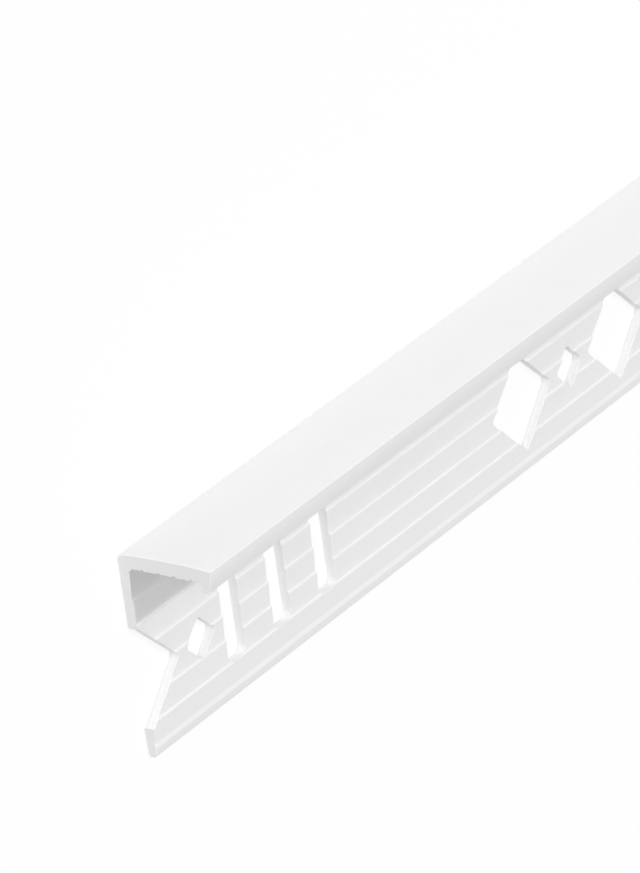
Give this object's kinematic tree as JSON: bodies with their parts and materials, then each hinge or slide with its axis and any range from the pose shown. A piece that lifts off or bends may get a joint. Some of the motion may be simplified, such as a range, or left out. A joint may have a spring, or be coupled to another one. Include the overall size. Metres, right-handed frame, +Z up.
{
  "type": "tile edge trim",
  "caption": "White plastic edge trim for wall tiles: a stepped, perforated leg beds in the adhesive and a square covering strip with a small lip hides the cut tile edge.",
  "frame": {"origin": "middle of the box on the leg's underside, where the trim lies on the floor", "axes": "+X along the trim towards the end seen in the picture, +Y from the covering strip to the leg's free edge, +Z up from the leg's underside to the lip"},
  "size_m": [1.83, 0.025, 0.0125],
  "materials": {
    "white_plastic": "satin white rigid PVC, as extruded"
  },
  "bodies": {
    "root": {"trim_strip": "white_plastic"}
  },
  "joints": []
}
